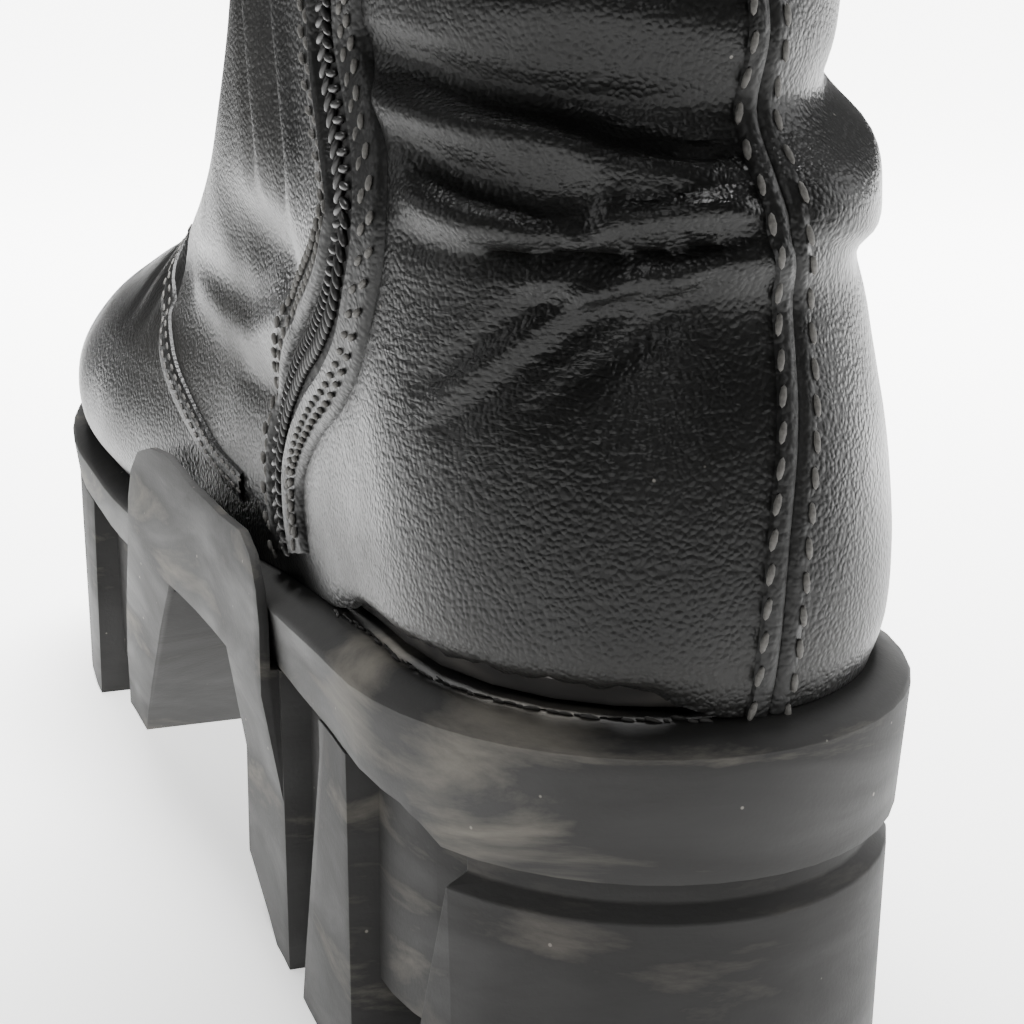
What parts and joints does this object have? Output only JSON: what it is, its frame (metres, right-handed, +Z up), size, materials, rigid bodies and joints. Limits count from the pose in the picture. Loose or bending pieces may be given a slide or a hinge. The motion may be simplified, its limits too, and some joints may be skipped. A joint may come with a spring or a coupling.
{
  "type": "platform boot",
  "caption": "Laced ankle boot with a hollow leather upper, side zip, tall lugged platform sole, heel block and raised arch panels.",
  "frame": {"origin": "centre of the heel block's tread face, on the floor", "axes": "+Z up, toe towards -Y, inner (medial) side towards +X; a right shoe"},
  "size_m": [0.1024, 0.302, 0.24],
  "materials": {
    "sole_rubber": "matt, dusty and scuffed",
    "upper_leather": "glossy pebbled leather, creased",
    "tongue_leather": "soft semi-gloss leather",
    "insole_fabric": "matt",
    "zip_textile": "woven tape with moulded teeth",
    "lace_textile": "braided cord",
    "zip_metal": "black enamel",
    "eyelet_metal": "black enamel"
  },
  "bodies": {
    "boot": {"platform": "sole_rubber", "outsole": "sole_rubber", "heel_block": "sole_rubber", "upper": "upper_leather", "tongue": "tongue_leather", "insole": "insole_fabric", "zip_tape": "zip_textile", "laces": "lace_textile", "zip_slider": "zip_metal", "eyelet_medial_1": "eyelet_metal", "eyelet_medial_2": "eyelet_metal", "eyelet_medial_3": "eyelet_metal", "eyelet_medial_4": "eyelet_metal", "eyelet_medial_5": "eyelet_metal", "eyelet_medial_6": "eyelet_metal", "eyelet_medial_7": "eyelet_metal", "eyelet_lateral_1": "eyelet_metal", "eyelet_lateral_2": "eyelet_metal", "eyelet_lateral_3": "eyelet_metal", "eyelet_lateral_4": "eyelet_metal", "eyelet_lateral_5": "eyelet_metal", "eyelet_lateral_6": "eyelet_metal", "eyelet_lateral_7": "eyelet_metal"},
    "pull_tab": {"zip_pull": "zip_metal"}
  },
  "joints": [
    {"name": "pull_tab_swing", "type": "hinge", "parent": "boot", "child": "pull_tab", "pos_m": [0.0488, -0.0455, 0.225], "axis": [0, -1, 0], "range_deg": [0, 150]}
  ]
}
